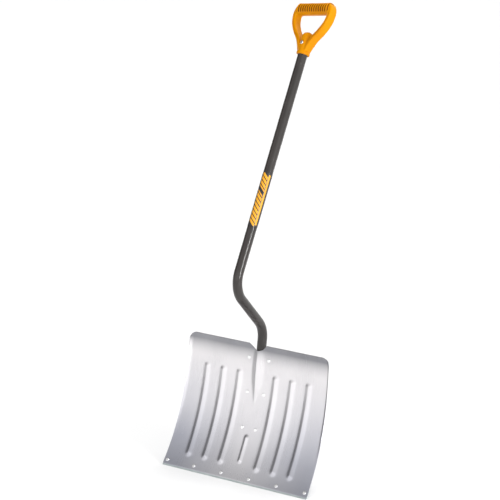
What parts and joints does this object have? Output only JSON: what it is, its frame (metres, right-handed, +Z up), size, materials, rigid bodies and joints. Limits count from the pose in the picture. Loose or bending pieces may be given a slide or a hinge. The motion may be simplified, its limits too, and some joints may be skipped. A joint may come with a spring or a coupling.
{
  "type": "snow shovel",
  "caption": "Snow shovel with a ribbed aluminium scoop, riveted wear strip, S-bent steel shaft in a back bracket, and a moulded D-grip.",
  "frame": {"origin": "middle of the cutting edge, on the ground face of the wear strip", "axes": "+Z up; -Y is forward, the way the hollow of the scoop faces and the shovel pushes; +X to the right seen from the front; the straight shaft leans back 30 degrees from +Z in the YZ plane, as the shovel is held while pushing"},
  "size_m": [0.4572, 0.4295, 1.2077],
  "materials": {
    "scoop_sheet": "satin rolled sheet with fine scratches",
    "galvanised_strip": "galvanised, faint spangle",
    "rivets": "bright set rivet",
    "bracket_steel": "galvanised pressed steel",
    "shaft_paint": "satin powder coat with a slight orange peel",
    "label_film": "dark film with plain orange marks",
    "grip_plastic": "moulded, low gloss"
  },
  "bodies": {
    "root": {"blade": "scoop_sheet", "wear_strip": "galvanised_strip", "strip_rivet_1": "rivets", "strip_rivet_2": "rivets", "strip_rivet_3": "rivets", "strip_rivet_4": "rivets", "strip_rivet_5": "rivets", "strip_rivet_6": "rivets", "back_bracket": "bracket_steel", "bracket_rivet_upper_left": "rivets", "bracket_rivet_upper_right": "rivets", "bracket_rivet_middle_left": "rivets", "bracket_rivet_middle_right": "rivets", "bracket_rivet_lower_left": "rivets", "bracket_rivet_lower_right": "rivets", "shaft_rivet": "rivets", "shaft_tube": "shaft_paint", "shaft_label": "label_film", "d_grip": "grip_plastic", "grip_rivet": "rivets"}
  },
  "joints": []
}
